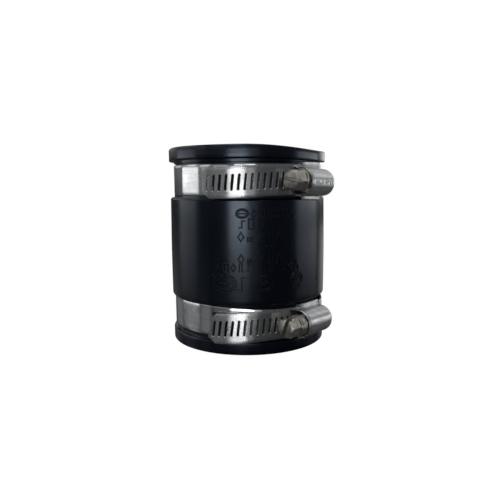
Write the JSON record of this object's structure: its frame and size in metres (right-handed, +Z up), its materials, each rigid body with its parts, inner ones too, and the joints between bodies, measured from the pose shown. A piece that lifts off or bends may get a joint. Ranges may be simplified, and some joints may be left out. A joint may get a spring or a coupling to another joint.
{
  "type": "flexible pipe coupling",
  "caption": "Moulded rubber sleeve that joins two pipe ends, gripped near each end by a stainless worm-drive band clamp.",
  "frame": {"origin": "centre of the bounding box's base, on the plane that the sleeve's lower end stands on; the sleeve's axis is at x -0.55 mm, y 3.95 mm, because the screws stand out on one side", "axes": "+Z up along the sleeve's bore, -Y towards the side where both band tails lie, +X towards the screw housings' side"},
  "size_m": [0.0739, 0.0807, 0.0889],
  "materials": {
    "moulded_rubber": "satin black with a blue cast",
    "stainless_steel": "bright rolled strip",
    "plated_screw_steel": "dull plated, slightly olive"
  },
  "bodies": {
    "sleeve": {"sleeve": "moulded_rubber"},
    "upper_clamp": {"upper_housing": "stainless_steel", "upper_saddle": "stainless_steel"},
    "upper_band": {"upper_band": "stainless_steel"},
    "upper_screw": {"upper_screw": "plated_screw_steel"},
    "lower_clamp": {"lower_housing": "stainless_steel", "lower_saddle": "stainless_steel"},
    "lower_band": {"lower_band": "stainless_steel"},
    "lower_screw": {"lower_screw": "plated_screw_steel"}
  },
  "joints": [
    {"name": "upper_clamp_turn", "type": "hinge", "parent": "sleeve", "child": "upper_clamp", "pos_m": [-0.00055, 0.00395, 0.0743], "axis": [0, 0, 1], "continuous": true},
    {"name": "upper_screw_turn", "type": "hinge", "parent": "upper_clamp", "child": "upper_screw", "pos_m": [0.02851, -0.02324, 0.0743], "axis": [0.6833, 0.7302, 0], "range_deg": [-1440, 720]},
    {"name": "upper_band_feed", "type": "hinge", "parent": "upper_clamp", "child": "upper_band", "pos_m": [-0.00055, 0.00395, 0.0743], "axis": [0, 0, 1], "range_deg": [-8.45, 16.85]},
    {"name": "lower_clamp_turn", "type": "hinge", "parent": "sleeve", "child": "lower_clamp", "pos_m": [-0.00055, 0.00395, 0.01305], "axis": [0, 0, 1], "continuous": true},
    {"name": "lower_screw_turn", "type": "hinge", "parent": "lower_clamp", "child": "lower_screw", "pos_m": [0.02793, -0.02385, 0.01305], "axis": [0.6984, 0.7157, 0], "range_deg": [-1440, 720]},
    {"name": "lower_band_feed", "type": "hinge", "parent": "lower_clamp", "child": "lower_band", "pos_m": [-0.00055, 0.00395, 0.01305], "axis": [0, 0, 1], "range_deg": [-8.45, 16.85]}
  ],
  "couplings": [
    {"joint": "upper_band_feed", "follows": "upper_screw_turn", "ratio": -0.011667},
    {"joint": "lower_band_feed", "follows": "lower_screw_turn", "ratio": -0.011667}
  ]
}
